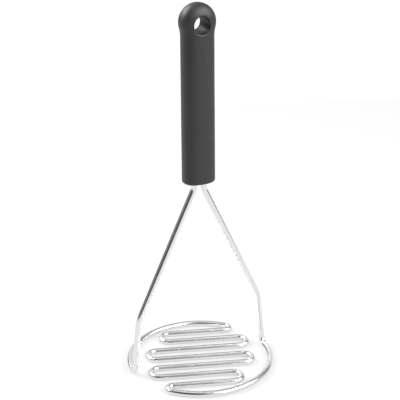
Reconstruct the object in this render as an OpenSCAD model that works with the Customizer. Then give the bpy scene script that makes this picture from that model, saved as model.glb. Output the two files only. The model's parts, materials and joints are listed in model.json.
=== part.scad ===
// Potato masher: a moulded handle on one bent steel wire.
// The wire comes down from the handle as two legs, turns flat at each foot,
// runs round as an open ring and folds back and forth inside it as the mashing grid.
// Frame: the table is z = 0, the ring's centre is the origin, X lies along the grid's runs.
// Half a turn about Z carries every piece onto itself or onto its twin.

/* [Wire] */
// Diameter of the steel wire
wire_d = 4.1; // [3.6:0.1:4.4]

/* [Head] */
// Outside diameter of the ring
head_d = 100; // [98:1:104]
// Distance between neighbouring runs of the grid
run_pitch = 11.6; // [11.2:0.1:11.8]
// Number of runs, always odd
run_count = 7; // [7:2:7]
// Reach of the two long loops, from the middle plane to the wire's centre
long_reach = 35.2; // [32:0.1:36]
// Reach of the two short loops beside the outermost runs
short_reach = 24.1; // [22:0.1:26]
// Bend radius where an outermost run turns into the ring
end_loop_r = 3.5; // [3.2:0.1:3.8]

/* [Legs] */
// Angle from the grid's runs to the plane of the two legs
leg_turn = 18.2; // [10:0.1:20]
// Length that the foot's bend takes from the leg and from the ring
foot_reach = 5; // [4:0.5:8]
// Height of the knee in each leg
knee_h = 40.4; // [36:0.2:46]
// Distance of the knee from the middle axis
knee_reach = 44; // [42:0.5:45]
// Bend radius at the knee
knee_bend_r = 25; // [15:1:30]
// Height where each leg turns upright under the handle
neck_h = 124.9; // [123:0.1:126]
// Bend radius under the handle
neck_bend_r = 9; // [6:1:12]
// Distance between the centres of the two upright ends
tail_gap = 7.2; // [6.4:0.1:8]
// Depth that the wire ends reach into the handle
tail_depth = 36; // [25:1:45]

/* [Handle] */
// Height of the handle's lower end above the table
handle_bottom = 130; // [129:0.5:134]
// Height of the handle's top above the table
total_h = 245; // [235:0.5:260]
// Width of the handle at its lower end
handle_w = 21.6; // [20:0.1:23]
// Width of the handle at the neck under the knob
neck_w = 21.2; // [20:0.1:22]
// Width of the round knob at the top
knob_w = 23.8; // [23:0.1:25]
// Thickness of the handle, front to back
handle_t = 16; // [14:0.2:18]
// Radius of the curve across its front and back faces
face_r = 20; // [16:1:40]
// Radius of the hollow curve between neck and knob
neck_blend_r = 18; // [14:1:22]
// Rounding of the lower edge
lower_edge_r = 1.5; // [1:0.1:2.5]

/* [Hanging hole] */
// Diameter of the hole
hole_d = 10.6; // [9:0.1:11]
// Height of the hole's axis above the table
hole_h = 231.9; // [230:0.1:233]
// Length of the straight wall inside the hole
hole_wall = 11; // [8:0.5:12]
// How much wider the hole is at each mouth
mouth_flare = 1.8; // [1:0.1:2.2]

/* [Hidden] */

round_fn = 96;          // circles of the handle
wire_fn = 24;           // section of the wire
sweep_fn = 160;         // large circles and long bends
spare = 1;              // how far a cutting shape runs past what it cuts
bend_step = 6;          // degrees between the rings of a bent leg

plastic = [0.16, 0.16, 0.17];
steel = [0.80, 0.81, 0.83];

wire_r = wire_d / 2;
ring_r = head_d / 2 - wire_r;
turn_r = run_pitch / 2;
last_run = run_pitch * (run_count - 1) / 2;

// The foot's corner lies just outside the ring, where the leg's line meets the ring's tangent
foot_angle = atan(foot_reach / ring_r);
foot = [ring_r / cos(foot_angle), 0, wire_r];
ring_end = [ring_r * cos(foot_angle), -ring_r * sin(foot_angle), wire_r];
knee = [knee_reach, 0, knee_h];
neck = [tail_gap / 2, 0, neck_h];
tail_top = [tail_gap / 2, 0, handle_bottom + tail_depth];
foot_bend_r = foot_reach * tan(between(knee - foot, ring_end - foot) / 2);

// The end loop touches the ring from inside, so its centre lies on the ring's radius
loop_centre_y = -(last_run + end_loop_r);
loop_centre_x = -sqrt(pow(ring_r - end_loop_r, 2) - pow(loop_centre_y, 2));
join_angle = atan2(loop_centre_y, loop_centre_x);

// Handle outline: straight body, hollow neck and round knob
body_r = handle_w / 2;
neck_r = neck_w / 2;
knob_r = knob_w / 2;
knob_h = total_h - knob_r;
blend_angle = acos((neck_r + neck_blend_r) / (knob_r + neck_blend_r));
neck_top = knob_h - (knob_r + neck_blend_r) * sin(blend_angle);
blend_steps = 4;        // straight steps of the hollow curve

// The hollow curve from the neck up to where it touches the round knob
neck_curve = [for (i = [0 : blend_steps])
    let (t = blend_angle * i / blend_steps)
    [neck_r + neck_blend_r * (1 - cos(t)), neck_top + neck_blend_r * sin(t)]];
touch_h = neck_curve[blend_steps].y;

mouth_depth = 4;        // depth of each flared mouth, to well outside the knob

function unit(v) = v / norm(v);

// Angle between two directions
function between(u, v) = acos(unit(u) * unit(v));

// Centre line of a bend at corner k, between the lines to a and b: pairs of a point and its direction
function bend_line(a, k, b, r) =
    let (
        sweep = 180 - between(a - k, b - k),
        along = unit(k - a),
        inward = unit(b - k - along * ((b - k) * along)),
        centre = k - along * r * tan(sweep / 2) + inward * r,
        steps = ceil(sweep / bend_step))
    [for (i = [0 : steps])
        let (t = sweep * i / steps)
        [centre + r * (along * sin(t) - inward * cos(t)), along * cos(t) + inward * sin(t)]];

// A direction across the wire at every point of its centre line, carried along without twist
function across(line, i = 0, last = [0, 1, 0]) =
    i == len(line) ? [] :
    let (here = unit(last - line[i][1] * (last * line[i][1])))
    concat([here], across(line, i + 1, here));

// Round wire of one piece along a centre line
module bent_wire(line) {
    side = across(line);
    rings = len(line);
    points = [for (i = [0 : rings - 1]) for (j = [0 : wire_fn - 1])
        let (a = 360 * j / wire_fn)
        line[i][0] + wire_r * (side[i] * cos(a) + cross(line[i][1], side[i]) * sin(a))];
    walls = [for (i = [0 : rings - 2]) for (j = [0 : wire_fn - 1])
        let (k = (j + 1) % wire_fn, low = i * wire_fn, high = low + wire_fn)
        [low + j, high + j, high + k, low + k]];
    first_end = [for (j = [0 : wire_fn - 1]) j];
    last_end = [for (j = [wire_fn - 1 : -1 : 0]) (rings - 1) * wire_fn + j];
    polyhedron(points, concat(walls, [first_end, last_end]), convexity = 6);
}

// Straight wire lying on the table from a to b, two points of the plan
module flat_run(a, b) {
    translate([min(a.x, b.x), a.y, wire_r])
        rotate([0, 90, 0])
            cylinder(h = abs(b.x - a.x), d = wire_d, $fn = wire_fn);
}

// Wire lying on the table, bent about centre c from angle a0 through the given sweep
module flat_bend(c, r, a0, sweep) {
    translate([c.x, c.y, wire_r])
        rotate([0, 0, a0])
            rotate_extrude(angle = sweep, $fn = sweep_fn)
                translate([r, 0])
                    circle(d = wire_d, $fn = wire_fn);
}

// One leg in its own plane: upright end, bend under the handle, long slope, knee, shin and foot bend
module leg() {
    color(steel)
        bent_wire(concat(
            [[tail_top, [0, 0, -1]]],
            bend_line(tail_top, neck, knee, neck_bend_r),
            bend_line(neck, knee, foot, knee_bend_r),
            bend_line(knee, foot, ring_end, foot_bend_r)));
}

module right_leg() {
    rotate([0, 0, leg_turn]) leg();
}

module left_leg() {
    rotate([0, 0, leg_turn + 180]) leg();
}

// Half of the open ring, from the end loop round to the right foot
module front_arc() {
    color(steel)
        flat_bend([0, 0], ring_r, join_angle, leg_turn - foot_angle - join_angle);
}

module back_arc() {
    rotate([0, 0, 180]) front_arc();
}

// How far the loop between run i and the next one reaches
function reach(i) = (i == 0 || i == run_count - 2) ? short_reach : long_reach;

// Height in the plan of run i, counted from the back
function run_y(i) = last_run - i * run_pitch;

// Where run i ends on the side of the loop before it, and on the side of the loop after it
function run_from(i) = i == 0 ? -loop_centre_x : loop_side(i - 1) * (reach(i - 1) - turn_r);
function run_to(i) = i == run_count - 1 ? loop_centre_x : loop_side(i) * (reach(i) - turn_r);

// The loops lie in turn on the left and on the right
function loop_side(i) = i % 2 == 0 ? -1 : 1;

// The folded middle of the wire
module mashing_grid() {
    color(steel) {
        for (i = [0 : run_count - 1])
            flat_run([run_from(i), run_y(i)], [run_to(i), run_y(i)]);
        for (i = [0 : run_count - 2])
            flat_bend([run_to(i), run_y(i) - turn_r], turn_r, loop_side(i) * 90 - 180, 180);
        for (turn = [0, 180])
            rotate([0, 0, turn])
                flat_bend([loop_centre_x, loop_centre_y], end_loop_r, 90, 270 + join_angle);
    }
}

// Half of the handle's outline, as seen across the legs
module handle_outline() {
    polygon(concat(
        [[0, handle_bottom], [body_r - lower_edge_r, handle_bottom], [body_r, handle_bottom + lower_edge_r]],
        neck_curve,
        [[0, touch_h]]));
    translate([body_r - lower_edge_r, handle_bottom + lower_edge_r])
        circle(r = lower_edge_r, $fn = wire_fn);
    intersection() {
        translate([0, knob_h])
            circle(r = knob_r, $fn = round_fn);
        translate([0, touch_h])
            square([knob_r, total_h - touch_h]);
    }
}

// The lens between the curved front and back faces, as seen from above
module oval_section() {
    offset_y = face_r - handle_t / 2;
    intersection() {
        translate([0, offset_y])
            circle(r = face_r, $fn = sweep_fn);
        translate([0, -offset_y])
            circle(r = face_r, $fn = sweep_fn);
    }
}

// The hanging hole through the knob, flared at both mouths
module hanging_hole() {
    translate([0, 0, hole_h])
        rotate([90, 0, 0]) {
            cylinder(h = 2 * handle_t, d = hole_d, center = true, $fn = round_fn);
            for (side = [0, 180])
                rotate([side, 0, 0])
                    translate([0, 0, hole_wall / 2])
                        cylinder(h = mouth_depth, d1 = hole_d, d2 = hole_d + 2 * mouth_flare, $fn = round_fn);
        }
}

// Oval moulded handle with the hanging hole and a socket for each wire end
module handle() {
    color(plastic)
        rotate([0, 0, leg_turn])
            difference() {
                intersection() {
                    rotate([0, 0, 90])
                        rotate_extrude($fn = round_fn)
                            handle_outline();
                    translate([0, 0, handle_bottom - spare])
                        linear_extrude(total_h - handle_bottom + 2 * spare)
                            oval_section();
                }
                hanging_hole();
                for (side = [-1, 1])
                    translate([side * tail_gap / 2, 0, handle_bottom - spare])
                        cylinder(h = tail_depth + spare, d = wire_d, $fn = wire_fn);
            }
}

handle();
left_leg();
right_leg();
back_arc();
front_arc();
mashing_grid();
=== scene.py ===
# %% [markdown]
# # Wire potato masher
# The masher has two pieces: a moulded grip, and one steel wire that is both legs, ring and grid.
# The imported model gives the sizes, and every piece is built around it in metres, in the same frame:
# the table is z = 0, the ring's centre is the origin, and X lies along the runs of the grid.

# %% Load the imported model
import json

import bmesh
import bpy
import numpy as np
from mathutils import Matrix, Vector

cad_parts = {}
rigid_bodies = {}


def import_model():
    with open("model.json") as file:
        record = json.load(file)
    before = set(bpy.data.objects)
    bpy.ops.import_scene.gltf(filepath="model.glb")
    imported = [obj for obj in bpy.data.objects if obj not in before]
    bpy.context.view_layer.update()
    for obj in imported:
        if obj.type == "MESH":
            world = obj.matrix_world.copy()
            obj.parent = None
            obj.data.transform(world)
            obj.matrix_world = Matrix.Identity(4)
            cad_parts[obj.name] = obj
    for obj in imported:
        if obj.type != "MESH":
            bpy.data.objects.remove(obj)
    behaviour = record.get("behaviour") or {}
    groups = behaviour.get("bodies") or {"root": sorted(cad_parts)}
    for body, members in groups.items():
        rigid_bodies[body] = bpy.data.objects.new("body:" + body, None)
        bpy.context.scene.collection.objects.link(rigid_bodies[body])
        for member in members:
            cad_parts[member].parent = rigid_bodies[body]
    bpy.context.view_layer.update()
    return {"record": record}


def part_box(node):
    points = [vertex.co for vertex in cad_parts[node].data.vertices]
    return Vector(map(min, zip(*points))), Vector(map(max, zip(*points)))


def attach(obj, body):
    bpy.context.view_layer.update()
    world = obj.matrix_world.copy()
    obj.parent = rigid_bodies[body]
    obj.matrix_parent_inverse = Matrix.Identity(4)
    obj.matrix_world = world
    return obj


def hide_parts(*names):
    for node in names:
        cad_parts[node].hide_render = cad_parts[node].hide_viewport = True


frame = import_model()
record = frame["record"]

# %% [markdown]
# ## Sizes from the frame
# A size that the model already holds is read from it and not typed again. The ring lies flat, so the
# height of its box is the wire's thickness. The hanging hole is a mount of the record, and its axis
# also gives the turn between the legs and the grid.

# %% Sizes that the model gives
MM = 0.001


def node_box(name):
    """Lowest and highest corner of a CAD node as two arrays."""
    low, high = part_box(name)
    return np.array(low), np.array(high)


arc_low, arc_high = node_box("front_arc")
handle_low, handle_high = node_box("handle")
hole = next(m for m in record["mounts"] if m["name"] == "hanging_hole")

WIRE_R = (arc_high[2] - arc_low[2]) / 2
RING_R = -arc_low[1] - WIRE_R
LEG_TURN = np.arctan2(-hole["axis"][0], hole["axis"][1])
HANDLE_BOTTOM, HANDLE_TOP = handle_low[2], handle_high[2]
HOLE_R, HOLE_Z = hole["dims"]["r_mm"] * MM, hole["pos_m"][2]
print(f"wire {2 * WIRE_R / MM:.2f} mm, ring radius {RING_R / MM:.2f} mm")
print(f"legs turned {np.degrees(LEG_TURN):.1f} degrees, hole of {2 * HOLE_R / MM:.1f} mm")

# %% [markdown]
# ## Sizes of the bent wire
# The other sizes are the wire bender's own: the spacing of the runs, how far each loop reaches, and
# the radius of every bend. They are the values of the CAD source. Knee, neck and tail top are points
# in the legs' own plane. Only the tip differs from the source: it is rounded here, and the rounding
# starts 0.2 mm below the end of the CAD wire.

# %% Sizes of the wire's bends
PITCH = 11.6 * MM
RUNS = 7
LAST_RUN = PITCH * (RUNS - 1) / 2
TURN_R = PITCH / 2
LONG_REACH, SHORT_REACH = 35.2 * MM, 24.1 * MM
END_LOOP_R = 3.5 * MM
FOOT_REACH = 5.0 * MM
KNEE = np.array([44.0, 0, 40.4]) * MM
KNEE_BEND_R = 25.0 * MM
NECK = np.array([3.6, 0, 124.9]) * MM
NECK_BEND_R = 9.0 * MM
TAIL_TOP = np.array([3.6, 0, 165.8]) * MM
print("grid of", RUNS, "runs,", round(2 * LAST_RUN / MM, 1), "mm from first to last")

# %% [markdown]
# ## Turning a grid of points into a mesh
# Every piece here is a surface over two parameters. The points fill a rectangular array, and the
# faces join each point to its neighbours. Points that land on the same place, at a seam or a pole,
# are then merged, so the surface is closed and its smooth shading has no break.

# %% Helpers for grid surfaces


def grid_faces(rows, columns, start, wrap):
    """Quads of a rows x columns grid whose points are numbered row by row from start.
    With wrap, the last column joins the first."""
    number = start + np.arange(rows * columns).reshape(rows, columns)
    right = np.roll(number, -1, axis=1) if wrap else number[:, 1:]
    left = number if wrap else number[:, :-1]
    return np.stack([left[:-1], right[:-1], right[1:], left[1:]], -1).reshape(-1, 4)


def merged(points, faces, step=1e-7):
    """Points closer than one step become one point. Faces that lose a corner become triangles,
    and faces that lose two are dropped. The last result numbers the points that were kept."""
    _, first, index = np.unique(
        np.round(points / step).astype(np.int64), axis=0, return_index=True, return_inverse=True)
    corners = index.reshape(-1)[faces]
    same_as_last = corners == np.roll(corners, 1, axis=1)
    lost = same_as_last.sum(axis=1)
    quads = corners[lost == 0]
    triangles = corners[lost == 1][~same_as_last[lost == 1]].reshape(-1, 3)
    return points[first], quads.tolist() + triangles.tolist(), first


def mesh_object(name, points, faces):
    """A smooth-shaded mesh object, with its place in the mesh and its origin at the origin."""
    mesh = bpy.data.meshes.new(name)
    mesh.from_pydata(points.tolist(), [], faces)
    mesh.validate()
    mesh.shade_smooth()
    made = bpy.data.objects.new(name, mesh)
    bpy.context.scene.collection.objects.link(made)
    return made


def signed_volume(mesh):
    """Volume inside a closed mesh: the sum over triangles of a . (b x c) / 6. It is negative where
    the faces point inwards."""
    mesh.calc_loop_triangles()
    corners = np.zeros(len(mesh.vertices) * 3)
    mesh.vertices.foreach_get("co", corners)
    triangles = np.zeros(len(mesh.loop_triangles) * 3, np.int32)
    mesh.loop_triangles.foreach_get("vertices", triangles)
    a, b, c = corners.reshape(-1, 3)[triangles.reshape(-1, 3)].swapaxes(0, 1)
    return float(np.einsum("ij,ij->i", a, np.cross(b, c)).sum() / 6)


print("helpers ready")

# %% [markdown]
# ## The wire's centre line
# A bent wire is a chain of straights and circular bends. Each stretch is worked out as whole arrays:
# a straight is a blend of its two ends, and a bend turns a radius about the bend's centre. A
# direction across the wire is carried along, turned by each bend as the wire itself is turned, so
# that the surface never twists.

# %% Stretches of a bent wire
STEP_LENGTH = 2.5 * MM
STEP_ANGLE, RING_STEP_ANGLE = np.radians(5.0), np.radians(1.5)


def unit(v):
    """v at length 1."""
    return v / np.linalg.norm(v)


def turned(v, axis, angles):
    """v turned about a unit axis by each of the angles, by Rodrigues' formula."""
    c, s = np.cos(angles)[:, None], np.sin(angles)[:, None]
    return v * c + np.cross(axis, v) * s + axis * (axis @ v) * (1 - c)


def straight(start, end):
    """Points from start to end, with their one direction and no turning."""
    t = np.linspace(0, 1, 1 + int(np.ceil(np.linalg.norm(end - start) / STEP_LENGTH)))[:, None]
    return {"points": start + (end - start) * t, "axis": unit(end - start), "angles": t[:, 0] * 0,
            "heading": unit(end - start), "radius": np.inf}


def bend(centre, start, axis, sweep, largest_step=STEP_ANGLE):
    """Points of a circular bend: the radius from centre to start, turned about axis by up to sweep."""
    angles = np.linspace(0, sweep, 1 + int(np.ceil(abs(sweep) / largest_step)))
    arm = start - centre
    return {"points": centre + turned(arm, axis, angles), "axis": axis, "angles": angles,
            "heading": unit(np.cross(axis, arm)) * np.sign(sweep), "radius": np.linalg.norm(arm)}


def corner_bend(before, corner, after, radius):
    """The bend of that radius tangent to both lines that meet at a corner."""
    along, on = unit(corner - before), unit(after - corner)
    sweep = np.arccos(along @ on)
    axis = unit(np.cross(along, on))
    start = corner - along * radius * np.tan(sweep / 2)
    return bend(start + np.cross(axis, along) * radius, start, axis, sweep)


print("a straight of 10 mm has", len(straight(np.zeros(3), np.array([10 * MM, 0, 0]))["points"]), "points")

# %% [markdown]
# ## The whole wire
# Half a turn about the upright axis carries the wire onto itself. So only one half is laid out: from
# the middle of the centre run outwards to the tip inside the handle. Turned round and reversed, it
# is also the other half.

# %% Lay out half of the wire
UP = np.array([0, 0, 1.0])


def flat(x, y):
    """A point of the wire's centre line where the wire lies on the table."""
    return np.array([x, y, WIRE_R])


def from_leg_plane(v):
    """A point or direction of the legs' own plane, turned into the row frame."""
    c, s = np.cos(LEG_TURN), np.sin(LEG_TURN)
    return np.array([[c, -s, 0], [s, c, 0], [0, 0, 1]]) @ v


foot_angle = np.arctan(FOOT_REACH / RING_R)
foot = from_leg_plane(np.array([RING_R / np.cos(foot_angle), 0, WIRE_R]))
ring_end = from_leg_plane(np.array([RING_R * np.cos(foot_angle), -RING_R * np.sin(foot_angle), WIRE_R]))
knee, neck, tail_top = (from_leg_plane(v) for v in (KNEE, NECK, TAIL_TOP))
foot_corner = np.arccos(unit(knee - foot) @ unit(ring_end - foot))
foot_bend_r = FOOT_REACH * np.tan(foot_corner / 2)
loop_y = -(LAST_RUN + END_LOOP_R)
loop_x = -np.sqrt((RING_R - END_LOOP_R) ** 2 - loop_y ** 2)
join_angle = np.arctan2(loop_y, loop_x)


def half_wire():
    """Stretches from the middle of the centre run to the wire's end in the handle."""
    stretches, x, y, side = [], 0.0, 0.0, 1
    for reach in (LONG_REACH, LONG_REACH, SHORT_REACH):
        turn_x = side * (reach - TURN_R)
        stretches.append(straight(flat(x, y), flat(turn_x, y)))
        stretches.append(bend(flat(turn_x, y - TURN_R), flat(turn_x, y), UP, -side * np.pi))
        x, y, side = turn_x, y - PITCH, -side
    stretches.append(straight(flat(x, y), flat(loop_x, y)))
    stretches.append(bend(flat(loop_x, loop_y), flat(loop_x, y), UP, 3 * np.pi / 2 + join_angle))
    ring_start = flat(RING_R * np.cos(join_angle), RING_R * np.sin(join_angle))
    stretches.append(bend(flat(0, 0), ring_start, UP, LEG_TURN - foot_angle - join_angle, RING_STEP_ANGLE))
    foot_bend = corner_bend(ring_end, foot, knee, foot_bend_r)
    knee_bend = corner_bend(foot, knee, neck, KNEE_BEND_R)
    neck_bend = corner_bend(knee, neck, tail_top, NECK_BEND_R)
    stretches += [
        foot_bend, straight(foot_bend["points"][-1], knee_bend["points"][0]),
        knee_bend, straight(knee_bend["points"][-1], neck_bend["points"][0]),
        neck_bend, straight(neck_bend["points"][-1], tail_top)]
    return stretches


half = half_wire()
half_length = sum(np.linalg.norm(np.diff(s["points"], axis=0), axis=1).sum() for s in half)
print(len(half), "stretches in half of the wire, whole wire", round(2 * half_length / MM), "mm long")

# %% [markdown]
# ## The wire as one surface
# The surface is a circle carried along the centre line. Where a wire is bent tightly, its section
# flattens a little towards the inside of the bend, and this breaks up the reflections there as on a
# real wire. Each of the wire's two ends is rounded by small rings that close in a pole.

# %% Carry the wire's section along its centre line
SIDES = 40
FLATTENING = 0.10       # share of the radius lost in the bend's plane, for a bend as tight as the wire
EASING = 4              # the higher this even power, the later the flattening fades at a bend's ends
TIP_RINGS = np.array([[0.35, 1.0], [0.7, 0.82], [0.9, 0.0]])  # rise and radius of each, in wire radii


def carried_line(stretches, first_side):
    """Points, headings, sides and inward flattening of a chain of stretches. The side vector turns
    with each bend, and the heading is the stretch's first one turned by the same angles."""
    chain, side = [], first_side
    for i, s in enumerate(stretches):
        across = turned(side, s["axis"], s["angles"])
        ahead = turned(s["heading"], s["axis"], s["angles"])
        eased = 1 - np.linspace(-1, 1, len(s["angles"])) ** EASING
        squeeze = FLATTENING * WIRE_R / s["radius"] * eased
        inward = np.cross(s["axis"], ahead) * np.sign(s["angles"][-1])
        first_new = 0 if i == 0 else 1
        chain.append([v[first_new:] for v in (s["points"], ahead, across, squeeze, inward)])
        side = across[-1]
    return [np.concatenate(v) for v in zip(*chain)]


points, headings, sides, squeeze, inward = carried_line(half, UP)
HALF_TURN = np.array([-1.0, -1.0, 1.0])
line = np.concatenate([points[::-1] * HALF_TURN, points[1:]])
ahead = np.concatenate([-headings[::-1] * HALF_TURN, headings[1:]])
across = np.concatenate([sides[::-1] * HALF_TURN, sides[1:]])
squeeze = np.concatenate([squeeze[::-1], squeeze[1:]])
inward = np.concatenate([inward[::-1] * HALF_TURN, inward[1:]])
along = np.concatenate([[0], np.cumsum(np.linalg.norm(np.diff(line, axis=0), axis=1))])
angle = 2 * np.pi * np.arange(SIDES) / SIDES


def wire_surface():
    """Circle of the wire's radius about every point of the line: cos(a) times the side vector plus
    sin(a) times the vector across both. The part that points along the bend's plane is shortened by
    the flattening. The rings of each tip follow at both ends."""
    third = np.cross(ahead, across)
    round_ = across[:, None] * np.cos(angle)[:, None] + third[:, None] * np.sin(angle)[:, None]
    in_plane = np.einsum("ijk,ik->ij", round_, inward)
    offset = WIRE_R * (round_ - (squeeze[:, None] * in_plane)[..., None] * inward[:, None])
    body = line[:, None] + offset
    ends = []
    for row, sign in ((0, -1), (-1, 1)):
        rise = sign * ahead[row] * WIRE_R * TIP_RINGS[:, :1, None]
        rings = line[row] + rise + offset[row] * TIP_RINGS[:, 1:, None]
        ends.append(rings[::sign])
    return np.concatenate([ends[0], body, ends[1]])


rows = wire_surface()
wire_points, wire_faces, kept = merged(rows.reshape(-1, 3), grid_faces(len(rows), SIDES, 0, True))
wire = mesh_object("wire", wire_points, wire_faces)
if signed_volume(wire.data) < 0:
    wire.data.flip_normals()
print("wire:", len(wire.data.polygons), "faces,", round(signed_volume(wire.data) / MM ** 3), "mm3")

# %% [markdown]
# ## Coordinates that follow the wire
# Drawing a wire through a die leaves fine lines along it, and they follow every bend. A pattern on
# plain Object coordinates would cut straight across the bends instead. So each point also keeps its
# place on the wire as it was before bending: a straight rod along Z. A second value holds how
# sharply the wire is bent there, because bending pulls at the polished skin.

# %% Keep the place on the straight rod
rod_z = np.pad(along, len(TIP_RINGS), mode="edge")
rod_circle = WIRE_R * np.stack([np.cos(angle), np.sin(angle)], -1)
rod = np.concatenate([np.broadcast_to(rod_circle, (len(rod_z),) + rod_circle.shape),
                      np.broadcast_to(rod_z[:, None, None], (len(rod_z), SIDES, 1))], -1)
bent = np.pad(squeeze / squeeze.max(), len(TIP_RINGS))


def keep_value(made, name, kind, values):
    """Store one value for each point of a mesh: a number or a vector."""
    layer = made.data.attributes.new(name, kind, "POINT")
    field = "vector" if kind == "FLOAT_VECTOR" else "value"
    layer.data.foreach_set(field, values.astype(np.float32).ravel())


keep_value(wire, "rod_place", "FLOAT_VECTOR", rod.reshape(-1, 3)[kept])
keep_value(wire, "bent", "FLOAT", np.repeat(bent, SIDES)[kept])
print(f"rod of {along[-1] / MM:.0f} mm, tightest bend {min(s['radius'] for s in half) / MM:.1f} mm")

# %% [markdown]
# ## The grip's outline
# Seen across the legs, the grip is a straight, slightly tapering body, a hollow neck and a round
# knob. Two formulas hold its whole shape: the half width at every height, and the half thickness at
# every point of the front view. The thickness follows a superellipse, which is fuller than an
# ellipse, so the faces are gently flattened and the sides stay round.

# %% Formulas of the grip
BODY_R, NECK_R, KNOB_R = 10.8 * MM, 10.6 * MM, 11.9 * MM
BLEND_R = 18.0 * MM
HALF_THICK = 8.0 * MM
FULLNESS = 2.4
EDGE_R = 1.5 * MM
KNOB_Z = HANDLE_TOP - KNOB_R
blend_angle = np.arccos((NECK_R + BLEND_R) / (KNOB_R + BLEND_R))
NECK_TOP = KNOB_Z - (KNOB_R + BLEND_R) * np.sin(blend_angle)
TOUCH_Z = NECK_TOP + BLEND_R * np.sin(blend_angle)


def half_width(z):
    """Half of the grip's width at height z: a taper, then a hollow arc, then the knob's circle."""
    taper = BODY_R + (NECK_R - BODY_R) * (z - HANDLE_BOTTOM) / (NECK_TOP - HANDLE_BOTTOM)
    hollow = NECK_R + BLEND_R - np.sqrt(np.clip(BLEND_R ** 2 - (z - NECK_TOP) ** 2, 0, None))
    knob = np.sqrt(np.clip(KNOB_R ** 2 - (z - KNOB_Z) ** 2, 0, None))
    return np.where(z < NECK_TOP, taper, np.where(z < TOUCH_Z, hollow, knob))


def half_thickness(x, z):
    """Half of the grip's thickness at a point of the front view: b (1 - q^n)^(1/n), where q runs
    from 0 on the middle line to 1 on the outline. Above the knob's centre q is the distance from it."""
    below = np.abs(x) / np.maximum(half_width(np.minimum(z, KNOB_Z)), 1e-9)
    above = np.hypot(x, z - KNOB_Z) / KNOB_R
    q = np.clip(np.where(z > KNOB_Z, above, below), 0, 1)
    return HALF_THICK * (1 - q ** FULLNESS) ** (1 / FULLNESS)


print(f"neck ends at {NECK_TOP / MM:.1f} mm, knob centre at {KNOB_Z / MM:.1f} mm")

# %% [markdown]
# ## The grip's body
# The body below the hole is a stack of closed sections, like the slices of a loaf. The lowest slices
# pull in along a quarter circle, which rounds the lower edge.

# %% Slices of the body
AROUND = 96
EDGE_SLICES, BODY_SLICES = 9, 60
CUT_BELOW_HOLE = 3.4 * MM
CUT_Z = HOLE_Z - HOLE_R - CUT_BELOW_HOLE


def rounded(circular):
    """A cosine or sine bent to the superellipse's fullness: its size to the power 2 / n, sign kept."""
    return np.sign(circular) * np.abs(circular) ** (2 / FULLNESS)


def body_slices():
    """Superellipses from the lower edge to the cut under the hole: x = a rounded(cos t) and
    y = b rounded(sin t). Both half axes are pulled in by the edge's quarter circle,
    r - sqrt(r^2 - h^2), h being the height below the circle's centre."""
    edge_z = HANDLE_BOTTOM + EDGE_R * (1 - np.sin(np.linspace(np.pi / 2, 0, EDGE_SLICES)))
    z = np.concatenate([edge_z, np.linspace(edge_z[-1], CUT_Z, BODY_SLICES)[1:]])[:, None]
    h = np.clip(HANDLE_BOTTOM + EDGE_R - z, 0, None)
    pull = EDGE_R - np.sqrt(np.clip(EDGE_R ** 2 - h ** 2, 0, None))
    t = 2 * np.pi * np.arange(AROUND) / AROUND
    x = (half_width(z) - pull) * rounded(np.cos(t))
    y = (HALF_THICK - pull) * rounded(np.sin(t))
    return np.stack([x, y, np.broadcast_to(z, x.shape)], -1)


body = body_slices()
print("body:", body.shape[0], "slices of", body.shape[1], "points")

# %% [markdown]
# ## The knob with its hanging hole
# A hole cut by a Boolean leaves ragged faces at its mouth. Here the knob's surface is laid out round
# the hole instead: rays run from the hole's axis to the outline, and each ray climbs the bore,
# rounds the mouth and follows the face to the rim. The front and the back are mirror images.

# %% Rays round the hanging hole
MOUTH_SIDE_R, MOUTH_END_R = 0.3 * MM, 1.2 * MM
UP_SIDE, OVER_TOP = 28, 120
BORE_ROWS, MOUTH_ROWS, FACE_ROWS = 9, 8, 30
LAST_BORE_ROW = 0.85    # its height as a share of where the mouth begins


def knob_boundary():
    """End points of the rays in the front view, in order round the hole: the cut from right to left,
    the left side up to the knob, over the top and down the right side."""
    cut = body[-1, : AROUND // 2 + 1, 0]
    cut_line = np.stack([cut, np.full_like(cut, CUT_Z)], -1)
    side_z = np.linspace(CUT_Z, KNOB_Z, UP_SIDE)[1:]
    side = np.stack([-half_width(side_z), side_z], -1)
    over = np.pi - np.linspace(0, np.pi, OVER_TOP)[1:-1]
    top = np.stack([KNOB_R * np.cos(over), KNOB_Z + KNOB_R * np.sin(over)], -1)
    return np.concatenate([cut_line, side, top, side[::-1] * [-1, 1]])


def ray_rows(ends, centre, hole_r, mouth_r, height, depth_rows, face_rows):
    """Points on every ray from a hole's axis: up the wall, round the mouth and out to the ray's end.
    height gives the face at a point of the view. Round the mouth the face drops by
    r - sqrt(r^2 - d^2), with d counted from the mouth's edge. Rows close up towards the end as a
    sine does, because the face falls away fastest at the rim."""
    reach = np.linalg.norm(ends - centre, axis=1)
    heading = (ends - centre) / reach[:, None]
    wall = np.full((len(depth_rows), len(ends)), hole_r)
    quarter = np.linspace(0, np.pi / 2, MOUTH_ROWS)
    mouth = hole_r + mouth_r * (1 - np.cos(quarter))[:, None]
    out = np.sin(np.linspace(0, 1, face_rows + 1)[1:] * np.pi / 2)
    edge = hole_r + mouth_r
    face = edge + (reach - edge) * out[:, None]
    distance = np.concatenate([wall, np.broadcast_to(mouth, (MOUTH_ROWS, len(ends))), face])
    d = np.clip(edge - distance, 0, None)
    drop = mouth_r - np.sqrt(np.clip(mouth_r ** 2 - d ** 2, 0, None))
    view = centre + heading * distance[..., None]
    level = height(view[..., 0], view[..., 1]) - drop
    level[: len(depth_rows)] = level[len(depth_rows)] * depth_rows[:, None]
    return view, level


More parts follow.
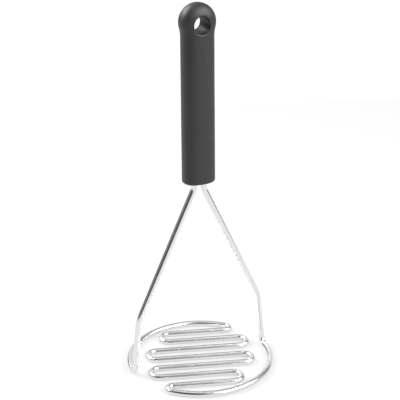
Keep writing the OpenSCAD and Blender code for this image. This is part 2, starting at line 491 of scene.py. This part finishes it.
ends = knob_boundary()
hole_centre = np.array([0.0, HOLE_Z])
steepness = np.square((ends - hole_centre)[:, 1] / np.linalg.norm(ends - hole_centre, axis=1))
mouth_radii = MOUTH_SIDE_R + (MOUTH_END_R - MOUTH_SIDE_R) * steepness
depths = np.linspace(0, LAST_BORE_ROW, BORE_ROWS)
view, level = ray_rows(ends, hole_centre, HOLE_R, mouth_radii, half_thickness, depths, FACE_ROWS)
front = np.stack([view[..., 0], -level, view[..., 1]], -1)
back = front * [1, -1, 1]
print("knob:", front.shape[1], "rays with", front.shape[0], "points on each side")

# %% [markdown]
# ## The lower end with its two sockets
# The wire enters through two blind sockets. The flat lower end is laid out by the same rays, once
# round each socket: the middle line parts the end into two halves, and each half's border is its
# side of the lowest slice and that line.

# %% Rays round the sockets
AIR_ROUND_WIRE, AIR_OVER_TIP = 0.12 * MM, 0.3 * MM
SOCKET_R = WIRE_R + AIR_ROUND_WIRE
SOCKET_MOUTH = 0.5 * MM
SOCKET_DEPTH = TAIL_TOP[2] - HANDLE_BOTTOM + TIP_RINGS[-1, 0] * WIRE_R + AIR_OVER_TIP
ACROSS_MIDDLE, SOCKET_ROWS, FLOOR_ROWS = 25, 12, 10


def socket_half(side):
    """Rings of the lower end and the socket for one side. Rays run round the socket's axis to the
    border of that half of the lowest slice. The socket's wall then rises to a closed top."""
    quarter = AROUND // 4
    half_rim = np.roll(body[0, :, :2], side * quarter, axis=0)[: 2 * quarter + 1]
    middle = np.linspace(half_rim[-1], half_rim[0], ACROSS_MIDDLE)[1:-1]
    border = np.concatenate([half_rim, middle])
    centre = np.array([side * NECK[0], 0.0])
    view, rise = ray_rows(
        border, centre, SOCKET_R, SOCKET_MOUTH, lambda x, y: x * 0, np.zeros(1), FLOOR_ROWS)
    rings = np.concatenate([view, HANDLE_BOTTOM - rise[..., None]], -1)[1:]
    wall = np.repeat(rings[:1], SOCKET_ROWS, axis=0)
    wall[..., 2] = HANDLE_BOTTOM + np.linspace(SOCKET_DEPTH, SOCKET_MOUTH, SOCKET_ROWS)[:, None]
    pole = np.broadcast_to([*centre, HANDLE_BOTTOM + SOCKET_DEPTH], wall[:1].shape)
    return np.concatenate([pole, wall, rings[1:]])


sockets = [socket_half(side) for side in (1, -1)]
print("sockets:", [s.shape for s in sockets])

# %% [markdown]
# ## Joining the grip's surfaces
# The four surfaces share their border points exactly, so merging closes them into one skin: body,
# front and back of the knob, and the two halves of the lower end. The whole grip is then turned into
# the legs' plane.

# %% Make the grip
surfaces = [body, front, back] + sockets
starts = np.cumsum([0] + [s.shape[0] * s.shape[1] for s in surfaces])
grip_faces = [grid_faces(s.shape[0], s.shape[1], start, True) for s, start in zip(surfaces, starts)]
all_points = np.concatenate([s.reshape(-1, 3) for s in surfaces])
grip_points, grip_faces, _ = merged(all_points, np.concatenate(grip_faces))
grip = mesh_object("grip", from_leg_plane(grip_points.T).T, grip_faces)

shell = bmesh.new()
shell.from_mesh(grip.data)
bmesh.ops.recalc_face_normals(shell, faces=shell.faces)
open_edges = sum(not edge.is_manifold for edge in shell.edges)
shell.to_mesh(grip.data)
shell.free()
if signed_volume(grip.data) < 0:
    grip.data.flip_normals()
volume = round(signed_volume(grip.data) / MM ** 3)
print("grip:", len(grip.data.polygons), "faces,", open_edges, "open edges,", volume, "mm3")

# %% [markdown]
# ## Where the grip is smooth, worn or given painted shade
# The core pin that makes the hole has no texture, so the bore comes out without a grain. The bore also
# reflects less, which is painted shade that darkens the inside of the hole. Hands and hooks polish the
# lower edge and the mouth of the hole. Both are places on the surface, so they are measured here once,
# as values on the points, and the finish reads them.

# %% Mark the bore and the edges
BORE_FADE, MOUTH_FADE, FOOT_FADE = 0.4 * MM, 1.5 * MM, 1.6 * MM
from_axis = np.hypot(grip_points[:, 0], grip_points[:, 2] - HOLE_Z)
above_bottom = grip_points[:, 2] - HANDLE_BOTTOM


def near(distance, fade):
    """1 where a distance is zero or less, falling to 0 where it reaches fade."""
    return 1 - np.clip(distance / fade, 0, 1)


in_bore = near(from_axis - HOLE_R, BORE_FADE)
worn_mouth = near(np.abs(from_axis - HOLE_R - MOUTH_END_R), MOUTH_FADE)
worn_foot = near(np.abs(above_bottom - EDGE_R / 2), FOOT_FADE)
keep_value(grip, "bore", "FLOAT", in_bore)
keep_value(grip, "worn_edge", "FLOAT", np.maximum(worn_mouth, worn_foot))
print(int((in_bore > 0).sum()), "points in the bore,", int((worn_foot > 0).sum()), "at the lower edge")

# %% [markdown]
# ## Small helpers for node trees
# A finish is a tree of nodes. These helpers keep the trees short to read: one adds a node and fills
# its sockets, one does arithmetic, and one turns a value into a soft mask.

# %% Helpers for nodes


def add(tree, kind, inputs=None, **settings):
    """A new node. Its settings are set first, then each named socket is fed or given its value."""
    made = tree.nodes.new(kind)
    for name, value in settings.items():
        setattr(made, name, value)
    for name, value in (inputs or {}).items():
        if isinstance(value, bpy.types.NodeSocket):
            tree.links.new(value, made.inputs[name])
        else:
            made.inputs[name].default_value = value
    return made


def calc(tree, operation, first, second):
    """Arithmetic on two values, each a socket or a number."""
    return add(tree, "ShaderNodeMath", {0: first, 1: second}, operation=operation).outputs[0]


def soft_step(tree, value, low, high, start=0.0, end=1.0):
    """start below low, end above high, and a smooth climb between."""
    inputs = {"Value": value, "From Min": low, "From Max": high, "To Min": start, "To Max": end}
    return add(tree, "ShaderNodeMapRange", inputs, interpolation_type="SMOOTHSTEP").outputs[0]


def noise(tree, place, density, **values):
    """The outputs of a noise texture with that many bumps to the metre."""
    return add(tree, "ShaderNodeTexNoise", {"Vector": place, "Scale": density, **values}).outputs


def mixed_colour(tree, share, first, second):
    """The first colour where share is 0 and the second where it is 1. The node's sockets for
    colours are numbers 6 and 7, and its colour output is number 2."""
    return add(tree, "ShaderNodeMix", {0: share, 6: first, 7: second}, data_type="RGBA").outputs[2]


def new_group(name, inputs, outputs):
    """An empty node group with its sockets, given as (name, socket type, value) and (name, type).
    The results are its tree, the sockets that it reads and the sockets that it feeds."""
    tree = bpy.data.node_groups.new(name, "ShaderNodeTree")
    for socket_name, kind, value in inputs:
        socket = tree.interface.new_socket(socket_name, in_out="INPUT", socket_type=kind)
        if value is not None:
            socket.default_value = value
    for socket_name, kind in outputs:
        tree.interface.new_socket(socket_name, in_out="OUTPUT", socket_type=kind)
    return tree, tree.nodes.new("NodeGroupInput").outputs, tree.nodes.new("NodeGroupOutput").inputs


print("node helpers ready")

# %% [markdown]
# ## Grain, shared by both finishes
# Steel and plastic both carry a fine grain: drawing lines on the wire, the bitten surface of the
# mould on the grip. Both are noise at two sizes. One group makes it, and each finish gives it
# its own coordinates and size. On the wire the coordinates are squeezed along its length, which
# draws the noise out into lines.

# %% Group: surface grain
VALUE, VECTOR = "NodeSocketFloat", "NodeSocketVector"
COARSE_DENSITY = 0.31               # bumps of the coarse noise for each one of the fine noise
PATCH_FROM, PATCH_FULL = 0.35, 0.65
grain, inputs, outputs = new_group(
    "surface_grain",
    [("Place", VECTOR, None), ("Size", VALUE, 0.3 * MM), ("Coarse Share", VALUE, 0.35)],
    [("Height", VALUE), ("Patches", VALUE)])
density = calc(grain, "DIVIDE", 1.0, inputs["Size"])
coarse_density = calc(grain, "MULTIPLY", density, COARSE_DENSITY)
fine = noise(grain, inputs["Place"], density, Detail=2.0)["Fac"]
coarse = noise(grain, inputs["Place"], coarse_density, Detail=1.0)["Fac"]
coarse_part = calc(grain, "MULTIPLY", coarse, inputs["Coarse Share"])
grain.links.new(calc(grain, "ADD", fine, coarse_part), outputs["Height"])
grain.links.new(soft_step(grain, coarse, PATCH_FROM, PATCH_FULL), outputs["Patches"])
print("group surface_grain:", len(grain.nodes), "nodes")

# %% [markdown]
# ## Finger marks, shared by both finishes
# A tool that has been picked up carries faint marks. They hardly change its colour, but they dull
# the gloss in patches about a fingertip wide. The group bends its coordinates with a first noise, so
# that the patches get smeared edges, and puts out a mask.

# %% Group: finger marks
SMEAR = (3 * MM, 3 * MM, 9 * MM)
MARK_FROM, MARK_FULL = 0.46, 0.66
marks, inputs, outputs = new_group(
    "finger_marks",
    [("Place", VECTOR, None), ("Size", VALUE, 12 * MM)],
    [("Mask", VALUE)])
density = calc(marks, "DIVIDE", 1.0, inputs["Size"])
smear = noise(marks, inputs["Place"], density, Detail=2.0)["Color"]
smear_inputs = {0: smear, 1: SMEAR, 2: inputs["Place"]}
pushed = add(marks, "ShaderNodeVectorMath", smear_inputs, operation="MULTIPLY_ADD").outputs[0]
patches = noise(marks, pushed, density, Detail=4.0, Roughness=0.6)["Fac"]
marks.links.new(soft_step(marks, patches, MARK_FROM, MARK_FULL), outputs["Mask"])
print("group finger_marks:", len(marks.nodes), "nodes")

# %% [markdown]
# ## Finish of the steel
# Bright stainless wire is almost a mirror, and a mirror shows nothing but the studio. What makes it
# read as steel is small: fine lines along the wire, a duller skin where it was bent, and a few
# finger marks. They go into the roughness, and the lines also into a very shallow bump. The larger
# patches of the same grain vary the colour a little.

# %% Material: bright drawn steel
STEEL_COLOUR, STEEL_DULL = (0.79, 0.795, 0.80, 1), (0.73, 0.735, 0.745, 1)
LINE_WIDTH, LINE_STRETCH = 0.16 * MM, 0.012
LINE_DEPTH, LINE_STRENGTH = 0.004 * MM, 0.35
LINE_FROM, LINE_FULL = 0.45, 0.95               # heights of the noise where a line begins and is full
STEEL_MARK_SIZE = 9 * MM
POLISHED, SCRATCHED = 0.09, 0.19                # roughness between the drawing lines and on them
ROUGHER_MARKED, ROUGHER_BENT = 0.07, 0.05       # what finger marks and the tightest bends add


def new_finish(name, colour):
    """A material with its Principled shader, and the tree that holds it."""
    made = bpy.data.materials.new(name)
    made.use_nodes = True
    shader = made.node_tree.nodes["Principled BSDF"]
    shader.inputs["Base Color"].default_value = colour
    made.diffuse_color = colour
    return made, made.node_tree, shader


steel, tree, shader = new_finish("bright_drawn_steel", STEEL_COLOUR)
shader.inputs["Metallic"].default_value = 1.0
rod_place = add(tree, "ShaderNodeAttribute", attribute_name="rod_place").outputs["Vector"]
bent_share = add(tree, "ShaderNodeAttribute", attribute_name="bent").outputs["Fac"]
drawn_out = add(tree, "ShaderNodeMapping", {"Vector": rod_place, "Scale": (1, 1, LINE_STRETCH)}).outputs[0]
line_inputs = {"Place": drawn_out, "Size": LINE_WIDTH, "Coarse Share": 0.5}
lines = add(tree, "ShaderNodeGroup", line_inputs, node_tree=grain).outputs
mark_inputs = {"Place": rod_place, "Size": STEEL_MARK_SIZE}
handled = add(tree, "ShaderNodeGroup", mark_inputs, node_tree=marks).outputs["Mask"]
rough = soft_step(tree, lines["Height"], LINE_FROM, LINE_FULL, POLISHED, SCRATCHED)
rough = calc(tree, "ADD", rough, calc(tree, "MULTIPLY", handled, ROUGHER_MARKED))
rough = calc(tree, "ADD", rough, calc(tree, "MULTIPLY", bent_share, ROUGHER_BENT))
tree.links.new(rough, shader.inputs["Roughness"])
line_bump = {"Height": lines["Height"], "Strength": LINE_STRENGTH, "Distance": LINE_DEPTH}
bump = add(tree, "ShaderNodeBump", line_bump)
tree.links.new(bump.outputs[0], shader.inputs["Normal"])
tree.links.new(mixed_colour(tree, lines["Patches"], STEEL_COLOUR, STEEL_DULL), shader.inputs["Base Color"])
wire.data.materials.append(steel)
print("steel:", len(tree.nodes), "nodes")

# %% [markdown]
# ## Finish of the grip
# The grip is moulded in near-black plastic. The mould's surface is bitten with a fine grain, which
# spreads the light into soft, wide highlights. Handled patches and worn edges are a little shinier.
# The bore reflects less, which is painted shade that darkens the inside of the hole.

# %% Material: moulded plastic
PLASTIC_COLOUR, PLASTIC_DUSTY = (0.013, 0.013, 0.0135, 1), (0.018, 0.018, 0.0185, 1)
GRAIN_SIZE, GRAIN_DEPTH = 0.35 * MM, 0.018 * MM
PLASTIC_MARK_SIZE = 14 * MM
DIP, TOP = 0.5, 1.1                             # heights of the noise in the grain's dips and tops
SATIN, MATT = 0.45, 0.55                        # roughness in the dips and on the tops
SMOOTHER_MARKED, SMOOTHER_WORN = 0.05, 0.06     # what finger marks and worn edges take off
# The bore's lower specular level is painted shade: it darkens the inside of the hole.
SHINE, SHINE_IN_BORE_PAINTED_SHADE = 0.5, 0.15                # specular level outside and inside the bore

plastic, tree, shader = new_finish("moulded_plastic", PLASTIC_COLOUR)
place = add(tree, "ShaderNodeTexCoord").outputs["Object"]
skin_inputs = {"Place": place, "Size": GRAIN_SIZE, "Coarse Share": 0.6}
skin = add(tree, "ShaderNodeGroup", skin_inputs, node_tree=grain).outputs
mark_inputs = {"Place": place, "Size": PLASTIC_MARK_SIZE}
handled = add(tree, "ShaderNodeGroup", mark_inputs, node_tree=marks).outputs["Mask"]
bore = add(tree, "ShaderNodeAttribute", attribute_name="bore").outputs["Fac"]
worn = add(tree, "ShaderNodeAttribute", attribute_name="worn_edge").outputs["Fac"]
rough = soft_step(tree, skin["Height"], DIP, TOP, SATIN, MATT)
rough = calc(tree, "SUBTRACT", rough, calc(tree, "MULTIPLY", handled, SMOOTHER_MARKED))
rough = calc(tree, "SUBTRACT", rough, calc(tree, "MULTIPLY", worn, SMOOTHER_WORN))
tree.links.new(rough, shader.inputs["Roughness"])
# Painted shade: the specular level drops in the bore, which darkens the inside of the hole.
tree.links.new(soft_step(tree, bore, 0.0, 1.0, SHINE, SHINE_IN_BORE_PAINTED_SHADE), shader.inputs["Specular IOR Level"])
print("plastic so far:", len(tree.nodes), "nodes")

# %% [markdown]
# ## Relief of the grip
# Two reliefs lie on each other. A hair-thin parting line runs round the grip where the two halves of
# the mould met, which is the plane of the legs. The grain lies over it, but not in the bore. Dust
# settles in the grain where no hand rubs, and lightens the colour there.

# %% Grain and parting line as bumps
PARTING_WIDTH, PARTING_HEIGHT = 0.12 * MM, 0.03 * MM

turned_place = add(tree, "ShaderNodeMapping", {"Vector": place, "Rotation": (0, 0, -LEG_TURN)}).outputs[0]
across_grip = add(tree, "ShaderNodeSeparateXYZ", {0: turned_place}).outputs["Y"]
from_parting = calc(tree, "ABSOLUTE", across_grip, 0.0)
parting = soft_step(tree, from_parting, 0.0, PARTING_WIDTH, 1.0, 0.0)
parting_bump = {"Height": parting, "Strength": 1.0, "Distance": PARTING_HEIGHT}
with_parting = add(tree, "ShaderNodeBump", parting_bump).outputs[0]
grain_height = calc(tree, "MULTIPLY", skin["Height"], calc(tree, "SUBTRACT", 1.0, bore))
grain_bump = {"Height": grain_height, "Strength": 1.0, "Distance": GRAIN_DEPTH, "Normal": with_parting}
tree.links.new(add(tree, "ShaderNodeBump", grain_bump).outputs[0], shader.inputs["Normal"])
dusty = calc(tree, "MULTIPLY", skin["Patches"], calc(tree, "SUBTRACT", 1.0, handled))
tree.links.new(mixed_colour(tree, dusty, PLASTIC_COLOUR, PLASTIC_DUSTY), shader.inputs["Base Color"])
grip.data.materials.append(plastic)
print("plastic:", len(tree.nodes), "nodes")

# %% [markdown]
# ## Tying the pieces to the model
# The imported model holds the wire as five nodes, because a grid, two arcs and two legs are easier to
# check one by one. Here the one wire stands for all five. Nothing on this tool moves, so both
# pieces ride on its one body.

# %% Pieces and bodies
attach(wire, "root")
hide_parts("left_leg", "right_leg", "back_arc", "front_arc", "mashing_grid")
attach(grip, "root")
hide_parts("handle")
print("pieces:", wire.name, "and", grip.name)

# %% [markdown]
# ## A pale table, lit from below
# A mirror-bright wire on a plain table would be surrounded by its own shadows. Product tables for
# such things are milky acrylic with light under them: the table stays white under and between the
# runs. So the table here glows a little by itself and adds some of the studio's light on top.

# %% The table
TABLE_HALF = 0.6
MILKY, TABLE_GLOW = (0.20, 0.20, 0.20, 1), 0.61
corners = np.array([[-1, -1, 0], [1, -1, 0], [1, 1, 0], [-1, 1, 0]]) * TABLE_HALF
table_mesh = bpy.data.meshes.new("table")
table_mesh.from_pydata(corners.tolist(), [], [(0, 1, 2, 3)])
table = bpy.data.objects.new("table", table_mesh)
bpy.context.scene.collection.objects.link(table)
milky, tree, shader = new_finish("milky_acrylic", MILKY)
shader.inputs["Roughness"].default_value = 0.9
shader.inputs["Specular IOR Level"].default_value = 0.0
shader.inputs["Emission Color"].default_value = (1, 1, 1, 1)
shader.inputs["Emission Strength"].default_value = TABLE_GLOW
table_mesh.materials.append(milky)
print("table of", 2 * TABLE_HALF, "m")

# %% [markdown]
# ## The studio around it
# Bright metal takes its whole look from its surroundings, so the room is designed like a part. It is
# a light grey room with a white sheet behind the table and a white floor. Darker places stand for
# what else a studio holds: the wall low on the left, the camera, stands and gaps. They draw the dark
# lines that give the wire its roundness. The camera itself sees plain white in every direction.

# %% Directions and soft places in the room


def toward(azimuth, elevation):
    """Unit vector to a part of the studio. Azimuth 0 is the -Y side, where the camera stands, and 90
    is the +X side."""
    a, e = np.radians([azimuth, elevation])
    return np.array([np.sin(a) * np.cos(e), -np.cos(a) * np.cos(e), np.sin(e)])


def height_of(elevation):
    """Z of a unit vector at that elevation."""
    return float(np.sin(np.radians(elevation)))


def round_place(tree, seen, azimuth, elevation, inner, outer):
    """1 within inner degrees of a direction and 0 beyond outer: a soft step of the cosine between."""
    directions = {0: seen, 1: toward(azimuth, elevation)}
    cosine = add(tree, "ShaderNodeVectorMath", directions, operation="DOT_PRODUCT").outputs["Value"]
    outer_cosine, inner_cosine = np.cos(np.radians([outer, inner])).tolist()
    return soft_step(tree, cosine, outer_cosine, inner_cosine)


def darkened(tree, light, mask, share):
    """light less that share of itself where the mask is 1."""
    left_over = calc(tree, "SUBTRACT", 1.0, calc(tree, "MULTIPLY", mask, share))
    return calc(tree, "MULTIPLY", light, left_over)


print("straight to the right:", toward(90, 0).round(2))

# %% The room's light and dark places
ROOM_LIGHT, SHEET_LIGHT, FLOOR_LIGHT, WHITE = 0.53, 0.9, 1.0, 1.1
LEFT_WALL_DARK = 0.6
SHEET_TOP, LEFT_WALL_TOP, FLOOR_EDGE = (36, 42), (14, 24), (-10, -7)    # elevations of soft borders
SHEET_SIDE, LEFT_WALL_SIDE = (0.35, 0.6), (-0.5, -0.2)      # Y or X of the unit vectors at soft borders
DARK_PLACES = {  # azimuth, elevation, dark within, gone beyond (degrees), share of the light it takes
    "camera and photographer": (-26, 30, 18, 37, 0.82),
    "camera stand": (-14, -1, 8, 20, 0.68),
    "floor on the right": (92, -3, 8, 18, 0.7),
    "stand of the right softbox": (112, 8, 6, 15, 0.6),
    "stand of the left softbox": (-146, 9, 5, 13, 0.6),
    "gap beside the sheet": (128, 33, 8, 16, 0.75),
    "top of the sheet": (165, 52, 8, 20, 0.35),
}
world = bpy.data.worlds.new("studio")
bpy.context.scene.world = world
world.use_nodes = True
tree = world.node_tree
tree.nodes.clear()
seen = add(tree, "ShaderNodeTexCoord").outputs["Object"]
parts = add(tree, "ShaderNodeSeparateXYZ", {0: seen}).outputs
behind = soft_step(tree, parts["Y"], *SHEET_SIDE)
below_sheet_top = soft_step(tree, parts["Z"], *map(height_of, SHEET_TOP), 1.0, 0.0)
sheet = calc(tree, "MULTIPLY", behind, below_sheet_top)
light = calc(tree, "ADD", ROOM_LIGHT, calc(tree, "MULTIPLY", sheet, SHEET_LIGHT - ROOM_LIGHT))
to_left = soft_step(tree, parts["X"], *LEFT_WALL_SIDE, 1.0, 0.0)
low = soft_step(tree, parts["Z"], *map(height_of, LEFT_WALL_TOP), 1.0, 0.0)
light = darkened(tree, light, calc(tree, "MULTIPLY", to_left, low), LEFT_WALL_DARK)
for azimuth, elevation, inner, outer, share in DARK_PLACES.values():
    light = darkened(tree, light, round_place(tree, seen, azimuth, elevation, inner, outer), share)
floor = soft_step(tree, parts["Z"], *map(height_of, FLOOR_EDGE), FLOOR_LIGHT, 0.0)
light = calc(tree, "MAXIMUM", light, floor)
camera_ray = add(tree, "ShaderNodeLightPath").outputs["Is Camera Ray"]
light = calc(tree, "MAXIMUM", light, calc(tree, "MULTIPLY", camera_ray, WHITE))
sky = add(tree, "ShaderNodeBackground", {"Color": (1, 1, 1, 1), "Strength": light})
add(tree, "ShaderNodeOutputWorld", {"Surface": sky.outputs[0]})
print("room:", len(tree.nodes), "nodes")

# %% [markdown]
# ## Three softboxes
# A large softbox on the right lights the front of the grip. A brighter one on the left, further
# back, draws the highlight on the knob's shoulder. A third, weak one hangs overhead. Each is given by
# the radiance of its face, which is what a mirror shows, and its power follows from that. The view
# transform is Standard, so a radiance of 1 comes out as plain white.

# %% Softboxes
TOOL_MIDDLE = Vector((0, 0, float(HANDLE_TOP) / 2))
LIGHT_DISTANCE = 1.6


def softbox(name, azimuth, elevation, width, height, radiance):
    """Rectangular area light that faces the middle of the tool. A face of area A that gives radiance L
    on one side sends out pi A L watts."""
    light = bpy.data.lights.new(name, "AREA")
    light.shape, light.size, light.size_y = "RECTANGLE", width, height
    light.energy = np.pi * width * height * radiance
    made = bpy.data.objects.new(name, light)
    bpy.context.scene.collection.objects.link(made)
    made.location = TOOL_MIDDLE + Vector(toward(azimuth, elevation)) * LIGHT_DISTANCE
    made.rotation_euler = (TOOL_MIDDLE - made.location).to_track_quat("-Z", "Y").to_euler()
    made.visible_camera = False
    print(f"{name}: {light.energy:.1f} W")


softbox("right_softbox", azimuth=54, elevation=35, width=1.6, height=0.95, radiance=8.2)
softbox("left_softbox", azimuth=-117, elevation=42, width=1.5, height=0.8, radiance=11.5)
softbox("top_softbox", azimuth=0, elevation=88, width=1.1, height=1.1, radiance=0.5)
bpy.context.scene.view_settings.view_transform = "Standard"

# %% [markdown]
# ## The camera
# The tool is seen from a little above and slightly from the left, with a long lens. The camera is
# aimed just below the middle of the tool's height, and the tool stands a hair left of the
# picture's middle.

# %% Camera
CAMERA_AZIMUTH, CAMERA_ELEVATION, CAMERA_ROLL = -7.29, 21.51, -0.48
CAMERA_DISTANCE, LENS = 0.679, 94.8
SIDE_STEP = 0.84 * MM
AIM = Vector((0, 0, 117.2 * MM))

camera = bpy.data.objects.new("camera", bpy.data.cameras.new("camera"))
bpy.context.scene.collection.objects.link(camera)
camera.data.lens = LENS
camera.data.clip_start, camera.data.clip_end = 0.01, 20
outward = Vector(toward(CAMERA_AZIMUTH, CAMERA_ELEVATION))
to_right = Vector((0, 0, 1)).cross(outward).normalized()
camera.location = AIM + outward * CAMERA_DISTANCE + to_right * SIDE_STEP
camera.rotation_mode = "QUATERNION"
roll = Matrix.Rotation(np.radians(CAMERA_ROLL), 4, "Z").to_quaternion()
camera.rotation_quaternion = (-outward).to_track_quat("-Z", "Y") @ roll
bpy.context.scene.camera = camera
print("camera at", [round(v, 3) for v in camera.location])
